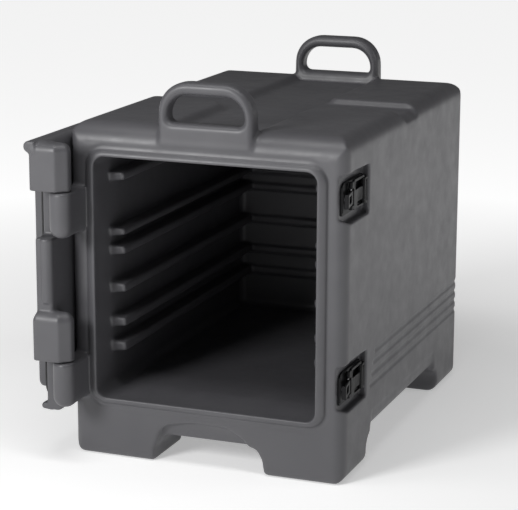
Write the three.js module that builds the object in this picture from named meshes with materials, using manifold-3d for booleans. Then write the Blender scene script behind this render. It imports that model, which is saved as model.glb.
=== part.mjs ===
// Insulated food carrier: a foam-filled, front-loading carrier for food pans, with two loop
// handles on top, six pairs of pan rails inside and a side-hung door held by two latches.
// Millimetres, +Z up. Everything is laid out in body coordinates: X to the right, Y from the
// front face (0) to the back, Z from the floor. The door is laid out as it stands when closed,
// and its group turns it about the hinge axis until it lies open along the left side.
import * as THREE from 'three';
import { mergeVertices } from 'three/addons/utils/BufferGeometryUtils.js';
import Module from 'manifold-3d';

const wasm = await Module();
wasm.setup();

// Driving dimensions.
const GAP = 0.3;     // clearance kept between pieces that touch
const PAST = 6;      // how far a cutter runs past the face that it cuts
const WALL = 6;      // moulded polyethylene skin
const ARC_STEPS = 3; // pairs of segments in each rounded corner

const BODY = { halfWidth: 228.5, depth: 642.3, top: 538.4, belly: 46, bellyEdgeR: 28 };
const ROUNDING = { frontR: 36, backR: 33.5, sideR: 20, cornerR: 19, footR: 10, footSideR: 20 };
const FOOT = { front: 116, back: 516, innerLeft: -88, innerRight: 95, blend: 24, blendR: 20 };
const ARCH = { rise: 72, shoulder: 60, scoop: 12.5, crown: 42.5 };
const HANDLE = {
  thickness: 33, halfWidth: 79, top: 608.7, outerR: 46,
  holeHalfWidth: 64, holeBottom: 545.4, holeTop: 589.5, holeR: 32, holeFootR: 8,
};
const HOLLOW_TOP = {
  depth: 11, channelHalf: 77, channelFloorHalf: 66, valley: [285, 370], slope: 4, cornerR: 42,
};
const GROOVE = { levels: [125.5, 142.5, 160, 177], width: 5.5, depth: 1.8, start: 135 };

const MOUTH = { halfWidth: 183.2, bottom: 98.5, top: 486.9, cornerR: 17, lip: 8.7, lipWidth: 10 };
const RIM_FLANK = { side: 3, below: 2, above: 2 };
const CAVITY = { skin: 4.3, step: 3.2, stepAt: 40, back: 604 };
const RAIL = {
  reach: 25, back: 6, start: 42, rightStart: 52,
  levels: [[163, 178], [204, 218], [260, 274], [322, 335], [353, 364], [441.5, 454]],
};

const HINGE = { x: -217, y: -55, barrelR: 16.5, pinR: 6, pinClear: 0.35 };
const ARMS = [{ bottom: 94, top: 166.4 }, { bottom: 365.5, top: 437.4 }];
const ARM_FLANK = 19.5;
const KNUCKLES = [{ bottom: 167.5, top: 247 }, { bottom: 438.5, top: 514 }];
const DOOR = { halfWidth: 226, outer: -41, inner: -13, bottom: 76, top: 516, edgeR: 9 };
const DOOR_LIP = {
  end: 214, topReach: -1.5, topFrom: 498, topR: 8.9, footReach: -2.4, footTo: 87, footR: 5.4,
};
const DOOR_NOTCH = { inner: -194.5, below: 3 };
const PANEL = {
  thickness: 4.7, skin: 3.5,
  plugHalfWidth: 178.5, plugBottom: 105, plugTop: 482, plugReach: 10, plugR: 15,
};
const GASKET = { inner: 1.5, width: 12, back: -9 };
const OPEN_ANGLE = Math.PI / 2;

const LATCH_LEVELS = { upper: 446, lower: 151 };
const POCKET = { innerX: 214.8, back: 108, below: 37, above: 40.6, cornerR: 5 };
const BASE = {
  thickness: 3, front: 8, back: 104, half: 21, margin: 4, plateR: 12,
  earReach: 227, earFrom: 93.5, earHeight: 5,
};
const LEVER = {
  pin: [223.5, 98.5], barrelR: 4, inner: 221.5, outer: 225.5, front: 42, low: -21, high: 25.5,
  windowEnd: 85.5, upperWindow: [48, 9, 21], lowerWindow: [58, -17.5, -11],
};
const HOOK = {
  pin: [222.8, 34], barrelR: 3.3, inner: 222.9, outer: 226, half: 10.6, tipFrom: -2.7, tipTo: 1.5,
};
const HOOK_REST_ANGLE = THREE.MathUtils.degToRad(9);
const LATCH_PIN = { r: 1.6, boreR: 1.9 };
const KEEPER = {
  inner: 203, wall: [215.6, 218.6], lip: 222.1, lipFrom: 2, reach: 6, half: 14, baseHalf: 17,
};
const SCREW = { headR: 4, headHeight: 2, shankR: 2, clear: 0.3, segments: 16 };
const FILL_PLUG = { r: 14, thickness: 3, doorR: 8, places: [[-120, 320], [120, 320]] };

// Materials.
const plastic = (color, roughness) => new THREE.MeshStandardMaterial({ color, roughness, metalness: 0 });
const MATERIALS = {
  polyethylene: plastic(0x6f7073, 0.55),
  liner: plastic(0x5f6063, 0.6),
  nylon: plastic(0x17171a, 0.45),
  foam: plastic(0xe3d9b4, 0.9),
  rubber: plastic(0x2b2b2d, 0.8),
  steel: new THREE.MeshStandardMaterial({ color: 0xb9bbbe, roughness: 0.35, metalness: 1 }),
};

// ---- Solids -------------------------------------------------------------------------------

// Turns a closed geometry into a solid that can be joined and cut.
function solid(geometry) {
  geometry.deleteAttribute('normal');
  geometry.deleteAttribute('uv');
  const merged = mergeVertices(geometry, 1e-4);
  return new wasm.Manifold(new wasm.Mesh({
    numProp: 3,
    vertProperties: new Float32Array(merged.attributes.position.array),
    triVerts: new Uint32Array(merged.index.array),
  }));
}

// Turns a solid back into a named mesh.
function mesh(name, material, body) {
  const { vertProperties, triVerts } = body.getMesh();
  const geometry = new THREE.BufferGeometry();
  geometry.setAttribute('position', new THREE.BufferAttribute(vertProperties, 3));
  geometry.setIndex(new THREE.BufferAttribute(triVerts, 1));
  geometry.computeVertexNormals();
  const result = new THREE.Mesh(geometry, MATERIALS[material]);
  result.name = name;
  return result;
}

const join = (...bodies) => bodies.reduce((all, body) => all.add(body));
const cut = (body, ...cutters) => cutters.reduce((rest, cutter) => rest.subtract(cutter), body);

function box([x0, x1], [y0, y1], [z0, z1]) {
  const geometry = new THREE.BoxGeometry(x1 - x0, y1 - y0, z1 - z0);
  geometry.translate((x0 + x1) / 2, (y0 + y1) / 2, (z0 + z1) / 2);
  return solid(geometry);
}

// A closed outline through corners [a, b, radius], each rounded by an arc of its radius.
function outline(corners) {
  const shape = new THREE.Shape();
  corners.forEach(([a, b, radius = 0], i) => {
    const here = new THREE.Vector2(a, b);
    const before = new THREE.Vector2(...corners.at(i - 1)).sub(here).normalize();
    const after = new THREE.Vector2(...corners[(i + 1) % corners.length]).sub(here).normalize();
    const half = Math.acos(before.dot(after)) / 2;
    const run = radius / Math.tan(half);
    const start = here.clone().addScaledVector(before, run);
    if (i === 0) shape.moveTo(start.x, start.y);
    else shape.lineTo(start.x, start.y);
    if (radius === 0) return;
    const bisector = before.clone().add(after).normalize();
    const centre = here.clone().addScaledVector(bisector, radius / Math.sin(half));
    const from = Math.atan2(start.y - centre.y, start.x - centre.x);
    const end = here.clone().addScaledVector(after, run);
    const to = Math.atan2(end.y - centre.y, end.x - centre.x);
    shape.absarc(centre.x, centre.y, radius, from, to, before.cross(after) > 0);
  });
  return shape;
}

const extrusion = (shape, depth) => new THREE.ExtrudeGeometry(shape, {
  depth, bevelEnabled: false, curveSegments: ARC_STEPS,
});

// Prisms whose outline is drawn in X and Y, in X and Z, and in Y and Z.
function prismZ(corners, [z0, z1]) {
  return solid(extrusion(outline(corners), z1 - z0).translate(0, 0, z0));
}

function prismY(corners, [y0, y1]) {
  return solid(extrusion(outline(corners), y1 - y0).rotateX(Math.PI / 2).translate(0, y1, 0));
}

function prismX(corners, [x0, x1]) {
  const upright = extrusion(outline(corners), x1 - x0).rotateY(Math.PI / 2).rotateX(Math.PI / 2);
  return solid(upright.translate(x0, 0, 0));
}

const rectangle = ([a0, a1], [b0, b1], r = 0) => [[a0, b0, r], [a1, b0, r], [a1, b1, r], [a0, b1, r]];

// Upright and level round bars.
function barZ([x, y], r, [z0, z1], segments = SCREW.segments) {
  const geometry = new THREE.CylinderGeometry(r, r, z1 - z0, segments).rotateX(Math.PI / 2);
  return solid(geometry.translate(x, y, (z0 + z1) / 2));
}

function barX([y, z], r, [x0, x1], segments = SCREW.segments) {
  const geometry = new THREE.CylinderGeometry(r, r, x1 - x0, segments).rotateZ(Math.PI / 2);
  return solid(geometry.translate((x0 + x1) / 2, y, z));
}

function barY([x, z], r, [y0, y1], segments = SCREW.segments) {
  const geometry = new THREE.CylinderGeometry(r, r, y1 - y0, segments);
  return solid(geometry.translate(x, (y0 + y1) / 2, z));
}

// A block rounded in side view, in front view and in plan.
function mouldedBlock(x, y, z, { frontR, backR, sideR, cornerR, footR, footSideR = footR }) {
  const side = prismX([
    [y[0], z[0], footR], [y[1], z[0], footR], [y[1], z[1], backR], [y[0], z[1], frontR],
  ], x);
  const front = prismY([
    [x[0], z[0], footSideR], [x[1], z[0], footSideR], [x[1], z[1], sideR], [x[0], z[1], sideR],
  ], y);
  const plan = prismZ(rectangle(x, y, cornerR), z);
  return side.intersect(front).intersect(plan);
}

// ---- Body ---------------------------------------------------------------------------------

const bodyX = [-BODY.halfWidth, BODY.halfWidth];
const bodyY = [0, BODY.depth];
const wideX = [bodyX[0] - PAST, bodyX[1] + PAST];
const longY = [bodyY[0] - PAST, bodyY[1] + PAST];

// The space under the belly, between the front and back feet, with the belly's rounded sides.
function underBelly() {
  const { belly, bellyEdgeR: r, halfWidth } = BODY;
  const { front, back, blend, blendR } = FOOT;
  const run = prismX([
    [front, -PAST], [front, belly, blendR], [back, belly, blendR], [back, -PAST],
  ], wideX);
  const rightEdge = cut(
    box([halfWidth - r, wideX[1]], [front + blend, back - blend], [belly - 1, belly + r]),
    barY([halfWidth - r, belly + r], r, longY, 32),
  );
  return join(run, rightEdge, rightEdge.mirror([1, 0, 0]));
}

// The lengthwise space between the left and right feet, with the arch scooped into each end.
function archway() {
  const { innerLeft: left, innerRight: right } = FOOT;
  const channel = prismY([
    [left - 1, -PAST], [left, 20, 12], [left + 8, ARCH.crown, 14],
    [right - 8, ARCH.crown, 14], [right, 20, 12], [right + 3, -PAST],
  ], longY);
  const arch = [
    [left - 3, -PAST], [left, 20, 20], [left + 12, ARCH.shoulder - 2, 22],
    [-20, ARCH.rise, 60], [30, ARCH.rise - 1, 50],
    [right - 30, ARCH.shoulder - 6, 30], [right - 3, 22, 20], [right + 3, -PAST],
  ];
  const { rise, crown, scoop: reach } = ARCH;
  const hollow = [0.5, 0.25, 0].map((turn) => Math.PI * turn);
  const wedge = (face, inward) => prismX([
    [face - inward * PAST, 0], [face - inward * PAST, rise],
    ...hollow.map((t) => [face + inward * reach * Math.cos(t), crown + (rise - crown) * Math.sin(t)]),
    [face + inward * reach, 0],
  ], wideX);
  const scoop = (y, face, inward) => prismY(arch, y).intersect(wedge(face, inward));
  return join(channel, scoop([-PAST, reach], 0, 1), scoop([BODY.depth - reach, longY[1]], BODY.depth, -1));
}

// The cross-shaped hollow in the top: a channel between the handles and a valley across.
function topHollow() {
  const { depth, channelHalf, channelFloorHalf, valley, slope, cornerR } = HOLLOW_TOP;
  const floor = BODY.top - depth;
  const flare = 1 + PAST / depth;
  const spread = (channelHalf - channelFloorHalf) * flare;
  const channel = prismY([
    [-channelFloorHalf, floor], [channelFloorHalf, floor],
    [channelFloorHalf + spread, BODY.top + PAST], [-channelFloorHalf - spread, BODY.top + PAST],
  ], [HANDLE.thickness, BODY.depth - HANDLE.thickness]);
  const across = prismX([
    [valley[0] + slope, floor, 3], [valley[1] - slope, floor, 3],
    [valley[1], BODY.top], [valley[1], BODY.top + PAST],
    [valley[0], BODY.top + PAST], [valley[0], BODY.top],
  ], wideX);
  const foot = [channelHalf, valley[0]];
  const corner = cut(
    prismZ(rectangle([foot[0] - slope, foot[0] + cornerR], [foot[1] - cornerR, foot[1] + slope]),
      [floor, BODY.top + PAST]),
    barZ([foot[0] + cornerR, foot[1] - cornerR], cornerR, [floor - 1, BODY.top + 2 * PAST], 32),
  );
  return join(channel, across, corner, corner.mirror([1, 0, 0]));
}

// A loop handle, upright across the body, from y to y + thickness. Its foot follows the rounded
// edge of the top that it stands on.
function handle(y) {
  const h = HANDLE;
  const span = [y, y + h.thickness];
  const foot = BODY.top - HOLLOW_TOP.depth - PAST;
  const loop = prismY([
    [-h.halfWidth, foot], [h.halfWidth, foot],
    [h.halfWidth, h.top, h.outerR], [-h.halfWidth, h.top, h.outerR],
  ], span);
  const hole = prismY([
    [-h.holeHalfWidth, h.holeBottom, h.holeFootR], [h.holeHalfWidth, h.holeBottom, h.holeFootR],
    [h.holeHalfWidth, h.holeTop, h.holeR], [-h.holeHalfWidth, h.holeTop, h.holeR],
  ], [y - PAST, span[1] + PAST]);
  const { frontR, backR } = ROUNDING;
  const top = mouldedBlock(wideX, [-GAP, BODY.depth + GAP], [0, BODY.top + GAP],
    { frontR: frontR + GAP, backR: backR + GAP, sideR: 1, cornerR: 1, footR: 1 });
  return cut(loop, hole, top);
}

// A hinge arm standing out from the front face, with its bore for the pin open at the top.
function hingeArm({ bottom, top }) {
  const { x, y, barrelR: r } = HINGE;
  const web = prismZ([
    [x - r + 1, y + 6], [x - r + 4, y + 27], [x - 9, WALL + 2], [x + ARM_FLANK, WALL + 2],
    [x + ARM_FLANK, y - r, r - 1], [x - 0.5, y - r],
  ], [bottom, top]);
  const barrel = barZ([x, y], r, [bottom, top], 32);
  return cut(join(barrel, web), barZ([x, y], HINGE.pinR + HINGE.pinClear, [bottom + 5, top + PAST], 24));
}

// The recess for a latch, open to the front and to the side.
function latchPocket(level) {
  const { innerX, back, below, above, cornerR } = POCKET;
  return prismX([
    [-PAST, level - below + 11], [20, level - below, 20], [back, level - below, cornerR],
    [back, level + above - 2.6, cornerR], [30, level + above, 30], [-PAST, level + above - 4],
  ], [innerX, wideX[1]]);
}

// Shallow grooves that run back along both sides and round the back.
function grooves() {
  const { levels, width, depth, start } = GROOVE;
  const inset = prismZ(rectangle([bodyX[0] + depth, bodyX[1] - depth], [0, BODY.depth - depth],
    ROUNDING.cornerR - depth), [0, BODY.top]);
  return levels.map((level) => cut(
    box(wideX, [start, longY[1]], [level - width / 2, level + width / 2]), inset));
}

const screwsOfBase = (level) => [[20, level], [74, level - 13]];

const latchScrewHoles = (level) => screwsOfBase(level).map(([y, z]) => barX(
  [y, z], SCREW.shankR + SCREW.clear, [POCKET.innerX - 5.7, POCKET.innerX + 1]));

// The block between the body's skins, inset from the outer faces.
function innerBlock(inset) {
  const { frontR, backR, cornerR } = ROUNDING;
  return mouldedBlock([bodyX[0] + inset, bodyX[1] - inset], [inset, BODY.depth - inset],
    [BODY.belly + inset, BODY.top - HOLLOW_TOP.depth - inset], {
      frontR: frontR - inset, backR: backR - inset, footR: BODY.bellyEdgeR,
      sideR: cornerR - inset, cornerR: cornerR - inset,
    });
}

function bodyOuterShell() {
  const bodyHollow = cut(innerBlock(WALL),
    ...Object.values(LATCH_LEVELS).map((level) => pocketBacking(level, WALL)));
  const around = CAVITY.skin + 0.5;
  const opening = prismY(rectangle([-MOUTH.halfWidth - around, MOUTH.halfWidth + around],
    [MOUTH.bottom - around, MOUTH.top + around], MOUTH.cornerR + 5), [-PAST, WALL * 2]);
  const outer = join(
    cut(mouldedBlock(bodyX, bodyY, [0, BODY.top], ROUNDING), underBelly(), archway(), topHollow()),
    ...ARMS.map(hingeArm),
  );
  return cut(outer, bodyHollow, opening, ...grooves(),
    ...Object.values(LATCH_LEVELS).map(latchPocket),
    ...Object.values(LATCH_LEVELS).flatMap(latchScrewHoles),
    ...FILL_PLUG.places.map((place) => barZ(place, FILL_PLUG.r + GAP,
      [BODY.belly - 1, BODY.belly + FILL_PLUG.thickness + GAP], 24)));
}

// The room that a latch recess and the skin behind it take.
function pocketBacking(level, skin) {
  const { innerX, back, below, above } = POCKET;
  return box([innerX - skin, wideX[1]], [0, back + skin], [level - below - skin, level + above + skin]);
}

function cavityBlock(grow, [y0, y1]) {
  const step = CAVITY.step - grow;
  return prismY(rectangle([-MOUTH.halfWidth + step, MOUTH.halfWidth - step],
    [MOUTH.bottom + step, MOUTH.top - step], MOUTH.cornerR - step + 0.1), [y0, y1]);
}

// The left and right rail of one level and the rib that joins them along the back.
function panRails([low, high]) {
  const wall = MOUTH.halfWidth - CAVITY.step;
  const edge = wall - RAIL.reach;
  const section = [[-wall - 1, low - 3], [-edge, low], [-edge, high], [-wall - 1, high]];
  const left = prismY(section, [RAIL.start, CAVITY.back + 1]);
  const right = prismY(section, [RAIL.rightStart, CAVITY.back + 1]).mirror([1, 0, 0]);
  const rib = box([-edge, edge], [CAVITY.back - RAIL.back, CAVITY.back + 1], [low, high]);
  return [left, right, rib];
}

function bodyInnerLiner() {
  const { halfWidth, bottom, top, cornerR, lip, lipWidth } = MOUTH;
  const reach = halfWidth + lipWidth;
  const low = bottom - lipWidth;
  const high = top + lipWidth;
  const { side, below, above } = RIM_FLANK;
  const rim = join(
    prismY(rectangle([-reach, reach], [low, high], cornerR + lipWidth), [-lip, -GAP]),
    prismY(rectangle([-reach - side, reach + side], [low - below, high + above], cornerR + lipWidth + side),
      [-lip / 2, -GAP]),
  );
  const bucket = cavityBlock(CAVITY.step + CAVITY.skin, [-lip, CAVITY.back + CAVITY.skin]);
  const hollow = join(cavityBlock(CAVITY.step, [-lip - 1, CAVITY.stepAt]), cavityBlock(0, [0, CAVITY.back]));
  return join(cut(join(rim, bucket), hollow), ...RAIL.levels.flatMap(panRails));
}

function bodyFoamCore() {
  const bucket = cavityBlock(CAVITY.step + CAVITY.skin + GAP, [-PAST, CAVITY.back + CAVITY.skin + GAP]);
  return cut(innerBlock(WALL + GAP), bucket,
    ...Object.values(LATCH_LEVELS).map((level) => pocketBacking(level, WALL + GAP)));
}

const fillPlug = ([x, y], r, z) => barZ([x, y], r, [z, z + FILL_PLUG.thickness], 24);

// ---- Latches ------------------------------------------------------------------------------

// A screw along an axis: the head's underside is at 0, the shank points to negative values.
function screw(bar, centre, face, sign, shank) {
  const span = (a, b) => [face + sign * a, face + sign * b].sort((p, q) => p - q);
  return join(bar(centre, SCREW.headR, span(0, SCREW.headHeight)),
    bar(centre, SCREW.shankR, span(-shank, 0.5)));
}

const plateOuter = POCKET.innerX + GAP + BASE.thickness;

function latchBase(level) {
  const { front, back, half, margin, plateR, earReach, earFrom, earHeight } = BASE;
  const plate = prismX([
    [front, level - half - margin, 3], [back, level - half - margin, 3],
    [back, level + half + margin, 3], [front, level + half + margin, plateR],
  ], [POCKET.innerX + GAP, plateOuter]);
  const ears = [level - half, level + half - earHeight].map((z) => prismZ(
    rectangle([plateOuter - 1, earReach], [earFrom, back - 0.5], 2), [z, z + earHeight]));
  const bores = screwsOfBase(level).map(([y, z]) => barX([y, z], SCREW.shankR + SCREW.clear,
    [POCKET.innerX, plateOuter + 1]));
  const pinBore = barZ(LEVER.pin, LATCH_PIN.boreR, [level - half - 1, level + half + 1]);
  return cut(join(plate, ...ears), pinBore, ...bores);
}

function latchLever(level) {
  const { pin, barrelR, inner, outer, front, low, high, windowEnd } = LEVER;
  const knuckle = BASE.half - BASE.earHeight - GAP;
  const barrel = barZ(pin, barrelR, [level - knuckle, level + knuckle]);
  const neck = box([inner, outer], [BASE.earFrom - 3, pin[1]], [level - knuckle, level + knuckle]);
  const pad = prismX(rectangle([front, BASE.earFrom - 1.5], [level + low, level + high], 4), [inner, outer]);
  const windows = [LEVER.upperWindow, LEVER.lowerWindow].map(([from, bottom, top]) => prismX(
    rectangle([from, windowEnd], [level + bottom, level + top], 2.5), [inner - 1, outer + 1]));
  const hookHalf = HOOK.half + GAP;
  const ears = [[low + 2, -hookHalf - 2], [hookHalf + 2, high - 2]].map(([from, to]) => join(
    barZ(HOOK.pin, HOOK.barrelR, [level + from, level + to]),
    box([inner, outer], [HOOK.pin[1], front + 4], [level + from, level + to])));
  const right = [level - BASE.half - PAST, level + BASE.half + PAST];
  return cut(join(barrel, neck, pad, ...ears), ...windows,
    barZ(pin, LATCH_PIN.boreR, right), barZ(HOOK.pin, LATCH_PIN.boreR, right),
    barZ(HOOK.pin, HOOK.barrelR + 1, [level - hookHalf, level + hookHalf]));
}

// The hook is drawn in its engaged place, round its own pin, so that a group can turn it.
function latchHook() {
  const { pin, barrelR, inner, outer, half, tipFrom, tipTo } = HOOK;
  const barrel = barZ([0, 0], barrelR, [-half, half]);
  const arm = box([inner - pin[0], outer - pin[0]], [tipFrom - pin[1], 0], [-half, half]);
  const tip = box([KEEPER.wall[1] + 2 * GAP - pin[0], outer - pin[0]],
    [tipFrom - pin[1], tipTo - pin[1]], [-half, half]);
  return cut(join(barrel, arm, tip), barZ([0, 0], LATCH_PIN.boreR, [-half - 1, half + 1]));
}

function latch(place, level) {
  const group = new THREE.Group();
  const pinEnds = [level - BASE.half + 0.5, level + BASE.half - 0.5];
  group.add(mesh(`latch_base_${place}`, 'nylon', latchBase(level)));
  group.add(mesh(`latch_lever_${place}`, 'nylon', latchLever(level)));
  group.add(mesh(`latch_lever_pin_${place}`, 'steel', barZ(LEVER.pin, LATCH_PIN.r, pinEnds)));
  group.add(mesh(`latch_hook_pin_${place}`, 'steel',
    barZ(HOOK.pin, LATCH_PIN.r, [level + LEVER.low + 2.5, level + LEVER.high - 2.5])));
  screwsOfBase(level).forEach((centre, i) => {
    group.add(mesh(`latch_screw_${place}_${i + 1}`, 'steel', screw(barX, centre, plateOuter + GAP, 1, 8)));
  });
  const hook = mesh(`latch_hook_${place}`, 'nylon', latchHook());
  hook.position.set(...HOOK.pin, level);
  hook.rotation.z = HOOK_REST_ANGLE;
  group.add(hook);
  return group;
}

// ---- Door, as it stands when closed -------------------------------------------------------

// The room that the hinge arms need at the door's hinge edge, open at the bottom below the lower one.
function armNotches(grow) {
  const lows = [DOOR.bottom - 2 * PAST, ARMS[1].bottom - DOOR_NOTCH.below - grow];
  return lows.map((low, i) => box([-DOOR.halfWidth - PAST, DOOR_NOTCH.inner + grow],
    [DOOR.outer - PAST, 1], [low, KNUCKLES[i].bottom + grow]));
}

function doorKnuckle({ bottom, top }) {
  const { x, y, barrelR: r } = HINGE;
  return prismZ([
    [x - r, -9.5, 3], [x - r, y], [x - 2, y - r, 8], [x + r, y - r, 10],
    [x + r, y + 4], [x + 21, DOOR.outer, 4], [x + 21, -20], [x + 12, -9.5, 3],
  ], [bottom, top]);
}

function doorTray(grow, y) {
  const half = DOOR.halfWidth - grow;
  return prismY(rectangle([-half, half], [DOOR.bottom + grow, DOOR.top - grow], DOOR.edgeR), y);
}

// The flanges along the door's top and bottom edges, which reach in towards the body.
function doorLips() {
  const { end, topReach, topFrom, topR, footReach, footTo, footR } = DOOR_LIP;
  const root = DOOR.inner - 1;
  return [
    prismX([[root, topFrom], [topReach, topFrom, topR], [topReach, DOOR.top, topR], [root, DOOR.top]],
      [HINGE.x - HINGE.barrelR, end]),
    prismX([[root, DOOR.bottom], [footReach, DOOR.bottom, footR], [footReach, footTo, footR], [root, footTo]],
      [DOOR_NOTCH.inner, end]),
  ];
}

function doorOuterShell() {
  const lips = doorLips();
  const hollow = cut(doorTray(WALL, [DOOR.outer + WALL, DOOR.inner]),
    ...armNotches(WALL), ...KNUCKLES.map(knuckleCore));
  const open = cut(doorTray(WALL, [DOOR.inner - 1, DOOR.inner + 0.5]), ...armNotches(WALL), ...lips);
  const pinBores = KNUCKLES.map(({ bottom, top }) => barZ([HINGE.x, HINGE.y],
    HINGE.pinR + HINGE.pinClear, [bottom - 1, top - 8], 24));
  const fillHole = barZ([0, (DOOR.outer + DOOR.inner) / 2], FILL_PLUG.doorR + GAP,
    [DOOR.bottom - 1, DOOR.bottom + FILL_PLUG.thickness + GAP], 24);
  const tray = cut(doorTray(0, [DOOR.outer, DOOR.inner]), ...armNotches(0));
  return cut(join(tray, ...lips, ...KNUCKLES.map(doorKnuckle)), hollow, open, fillHole, ...pinBores);
}

// The door's skin stays solid where a knuckle grows out of it.
const knuckleCore = ({ bottom, top }) => box([-DOOR.halfWidth - 1, HINGE.x + 21 + WALL],
  [DOOR.outer, DOOR.inner + 1], [bottom - 1, top + 3]);

// The outline of the plug on the door's inner face, grown or shrunk all round.
function plugOutline(grow) {
  const { plugHalfWidth: half, plugBottom, plugTop, plugR } = PANEL;
  return rectangle([-half - grow, half + grow], [plugBottom - grow, plugTop + grow], plugR + grow);
}

function doorInnerPanel() {
  const { thickness, plugReach, skin } = PANEL;
  const back = DOOR.inner - GAP;
  const plate = cut(doorTray(WALL + GAP, [back - thickness, back]), ...armNotches(WALL + GAP),
    ...KNUCKLES.map(knuckleCore));
  const screws = keeperScrews().map(([x, z]) => barY(
    [x, z], SCREW.shankR + SCREW.clear, [back - 4, back + 1]));
  return cut(join(plate, prismY(plugOutline(0), [back - thickness, plugReach])),
    prismY(plugOutline(-skin), [back - thickness - 1, plugReach - skin]), ...screws);
}

function doorFoamCore() {
  const { thickness, plugReach, skin } = PANEL;
  const inset = skin + GAP;
  const slab = cut(doorTray(WALL + GAP, [DOOR.outer + WALL + GAP, DOOR.inner - 2 * GAP - thickness]),
    ...armNotches(WALL + GAP), ...KNUCKLES.map(knuckleCore));
  return join(slab, prismY(plugOutline(-inset), [DOOR.outer + WALL + 5, plugReach - inset]));
}

function doorGasket() {
  const { inner, width, back } = GASKET;
  return cut(prismY(plugOutline(inner + width), [DOOR.inner, back]),
    prismY(plugOutline(inner), [DOOR.inner - 1, back + 1]));
}

function keeperScrews() {
  return Object.values(LATCH_LEVELS).flatMap((level) => [-10, 10].map((dz) => [208, level + dz]));
}

// The keeper is an angle with an outward lip that the latch hook catches.
function doorKeeper(level) {
  const { inner, wall, lip, lipFrom, reach, half, baseHalf } = KEEPER;
  const tall = [level - half, level + half];
  const base = box([inner, wall[1]], [DOOR.inner, DOOR.inner + 3], [level - baseHalf, level + baseHalf]);
  const web = box(wall, [DOOR.inner, reach], tall);
  const catching = box([wall[0], lip], [lipFrom, reach], tall);
  const bores = keeperScrews().map(([x, z]) => barY([x, z], SCREW.shankR + SCREW.clear,
    [DOOR.inner - 1, DOOR.inner + 4]));
  return cut(join(base, web, catching), ...bores);
}

function door() {
  const contents = new THREE.Group();
  contents.add(mesh('door_outer_shell', 'polyethylene', doorOuterShell()));
  contents.add(mesh('door_inner_panel', 'polyethylene', doorInnerPanel()));
  contents.add(mesh('door_foam_core', 'foam', doorFoamCore()));
  contents.add(mesh('door_gasket', 'rubber', doorGasket()));
  contents.add(mesh('door_fill_plug', 'nylon', fillPlug([0, (DOOR.outer + DOOR.inner) / 2],
    FILL_PLUG.doorR, DOOR.bottom)));
  ['lower', 'upper'].forEach((place, i) => {
    const ends = [ARMS[i].bottom + 5.5, KNUCKLES[i].top - 8.5];
    contents.add(mesh(`hinge_pin_${place}`, 'steel', barZ([HINGE.x, HINGE.y], HINGE.pinR, ends, 24)));
  });
  Object.entries(LATCH_LEVELS).forEach(([place, level]) => {
    contents.add(mesh(`door_keeper_${place}`, 'nylon', doorKeeper(level)));
    keeperScrews().filter(([, z]) => Math.abs(z - level) < KEEPER.baseHalf).forEach((centre, i) => {
      contents.add(mesh(`keeper_screw_${place}_${i + 1}`, 'steel',
        screw(barY, centre, DOOR.inner + 3 + GAP, 1, 6.5)));
    });
  });
  contents.position.set(-HINGE.x, -HINGE.y, 0);
  const group = new THREE.Group();
  group.add(contents);
  group.position.set(HINGE.x, HINGE.y, 0);
  group.rotation.z = OPEN_ANGLE;
  return group;
}

// ---- Assembly -----------------------------------------------------------------------------

const carrier = new THREE.Group();
carrier.add(mesh('body_outer_shell', 'polyethylene', bodyOuterShell()));
carrier.add(mesh('handle_front', 'polyethylene', handle(0)));
carrier.add(mesh('handle_back', 'polyethylene', handle(BODY.depth - HANDLE.thickness)));
carrier.add(mesh('body_inner_liner', 'liner', bodyInnerLiner()));
carrier.add(mesh('body_foam_core', 'foam', bodyFoamCore()));
FILL_PLUG.places.forEach((place, i) => {
  carrier.add(mesh(`body_fill_plug_${i + 1}`, 'nylon', fillPlug(place, FILL_PLUG.r, BODY.belly)));
});
Object.entries(LATCH_LEVELS).forEach(([place, level]) => carrier.add(latch(place, level)));
carrier.add(door());

// The origin is the middle of the footprint of the whole object, on the floor.
const extent = new THREE.Box3().setFromObject(carrier);
const middle = extent.getCenter(new THREE.Vector3());
carrier.position.set(-middle.x, -middle.y, -extent.min.z);

export default carrier;
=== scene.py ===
# Insulated food carrier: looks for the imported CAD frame.
#
# The moulded pieces are worked out as signed distance fields on a grid (millimetres, negative
# inside), so that every edge, fillet and draft of the moulding is a true rounded surface. Each
# field's zero level becomes one closed mesh. Body coordinates are those of the object itself:
# X to the right, Y from the front face to the back, Z from the floor. The door is laid out as it
# stands when closed and is then turned about its hinge axis to where it lies at rest.
import math

import bpy
import numpy as np
from mathutils import Matrix, Vector


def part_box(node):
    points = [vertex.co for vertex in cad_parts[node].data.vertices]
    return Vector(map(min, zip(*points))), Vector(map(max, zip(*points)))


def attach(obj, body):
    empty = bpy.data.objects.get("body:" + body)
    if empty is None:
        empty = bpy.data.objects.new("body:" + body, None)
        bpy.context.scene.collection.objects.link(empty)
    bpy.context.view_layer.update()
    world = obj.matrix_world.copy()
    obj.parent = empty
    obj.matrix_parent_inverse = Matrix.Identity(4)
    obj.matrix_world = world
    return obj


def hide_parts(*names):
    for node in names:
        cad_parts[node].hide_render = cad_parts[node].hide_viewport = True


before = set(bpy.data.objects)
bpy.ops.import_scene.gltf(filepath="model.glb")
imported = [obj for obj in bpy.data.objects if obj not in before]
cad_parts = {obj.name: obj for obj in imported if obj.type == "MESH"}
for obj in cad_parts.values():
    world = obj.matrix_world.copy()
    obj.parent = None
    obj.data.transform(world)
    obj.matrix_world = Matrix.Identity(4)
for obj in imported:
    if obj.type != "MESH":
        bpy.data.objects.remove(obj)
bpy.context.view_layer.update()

# ---- Sizes, in millimetres ----------------------------------------------------------------

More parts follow.
